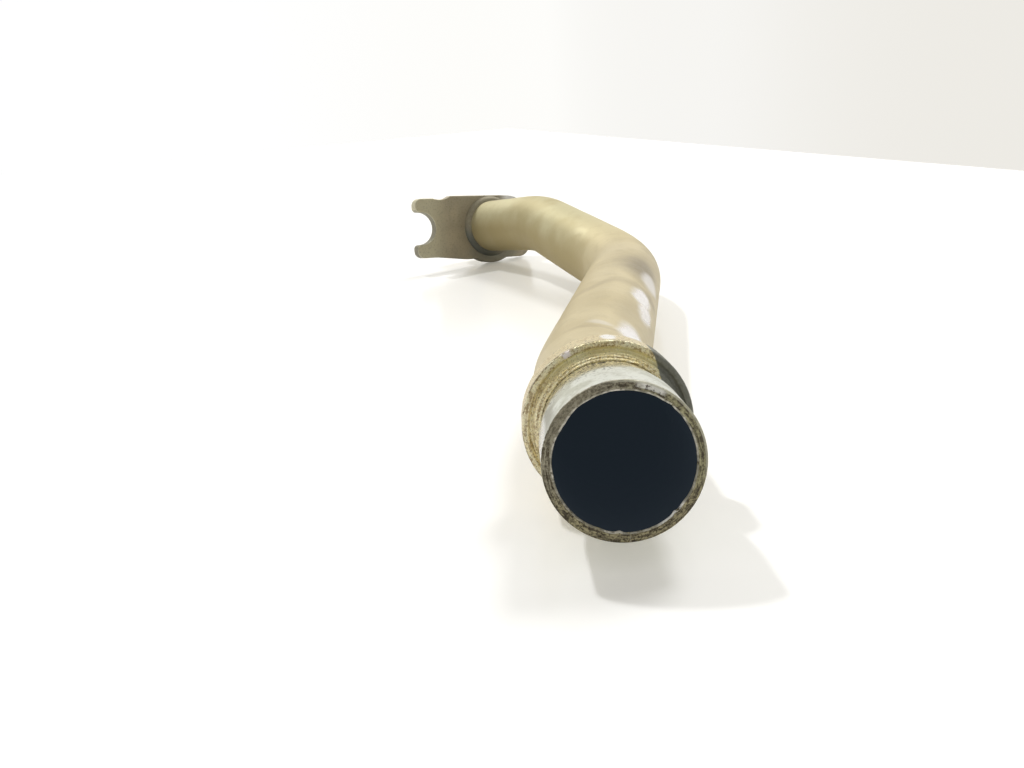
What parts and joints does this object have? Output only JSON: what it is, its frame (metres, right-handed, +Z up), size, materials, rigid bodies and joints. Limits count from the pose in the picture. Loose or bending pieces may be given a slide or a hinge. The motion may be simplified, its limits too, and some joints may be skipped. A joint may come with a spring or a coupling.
{
  "type": "turbo oil line",
  "caption": "Bent steel oil line for a turbocharger, with a dished stop collar brazed near its open spigot and a flat fork plate brazed near the other end.",
  "frame": {"origin": "on the table under the centre of the bounding box, with the line lying as it comes to rest", "axes": "+Y along the line's length, from the open spigot towards the fork plate; +Z up from the table"},
  "size_m": [0.0634, 0.2058, 0.0235],
  "materials": {
    "tube_steel": "satin, aged yellow passivation",
    "collar_steel": "grainy gold tint",
    "plate_steel": "dull dark brown-grey",
    "collar_braze": "stepped, satin gold",
    "plate_braze": "dull dark"
  },
  "bodies": {
    "root": {"tube": "tube_steel", "stop_collar": "collar_steel", "forked_plate": "plate_steel", "collar_front_braze": "collar_braze", "collar_back_braze": "collar_braze", "plate_braze": "plate_braze"}
  },
  "joints": []
}
